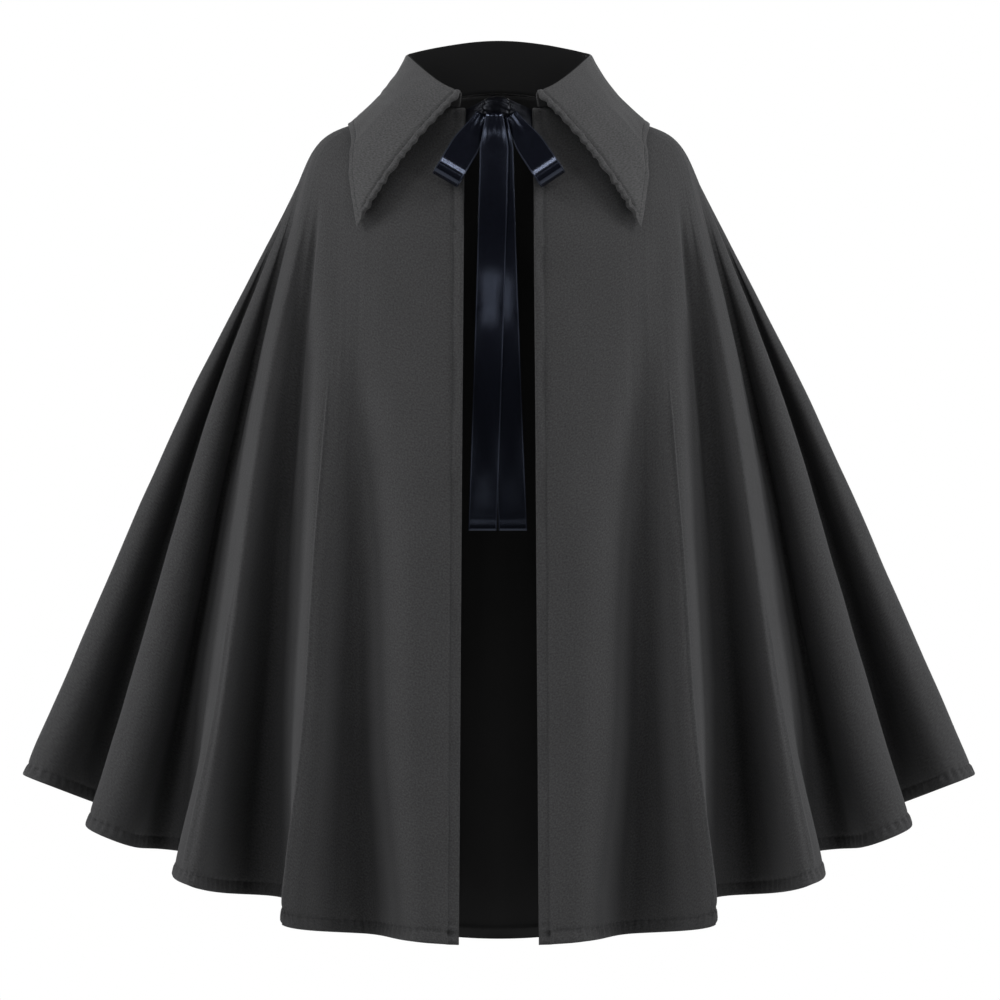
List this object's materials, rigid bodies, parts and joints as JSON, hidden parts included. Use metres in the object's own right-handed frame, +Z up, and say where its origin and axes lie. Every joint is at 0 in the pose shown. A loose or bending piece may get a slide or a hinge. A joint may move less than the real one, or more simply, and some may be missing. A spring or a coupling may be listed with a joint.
{
  "type": "short cape",
  "caption": "Short flared cape of charcoal cloth with deep folds, a pointed turn-down collar and a black satin ribbon tied in a bow at the throat, open down the front.",
  "frame": {"origin": "the middle of the neckline, level with the points where the neck meets the shoulders", "axes": "+Z up, the front faces -Y, +X is the wearer's left"},
  "size_m": [0.854, 0.4775, 0.8315],
  "materials": {
    "cape_cloth": "matt charcoal fine twill, flat near-black on the inside",
    "collar_cloth": "matt charcoal fine twill",
    "ribbon_satin": "black satin with a cool sheen"
  },
  "bodies": {
    "root": {"front_panel_left": "cape_cloth", "front_panel_right": "cape_cloth", "back_panel": "cape_cloth", "collar": "collar_cloth", "ribbon_knot": "ribbon_satin", "ribbon_loop_left": "ribbon_satin", "ribbon_loop_right": "ribbon_satin", "ribbon_sewn_end_left": "ribbon_satin", "ribbon_sewn_end_right": "ribbon_satin", "ribbon_tail_left": "ribbon_satin", "ribbon_tail_right": "ribbon_satin"}
  },
  "joints": []
}
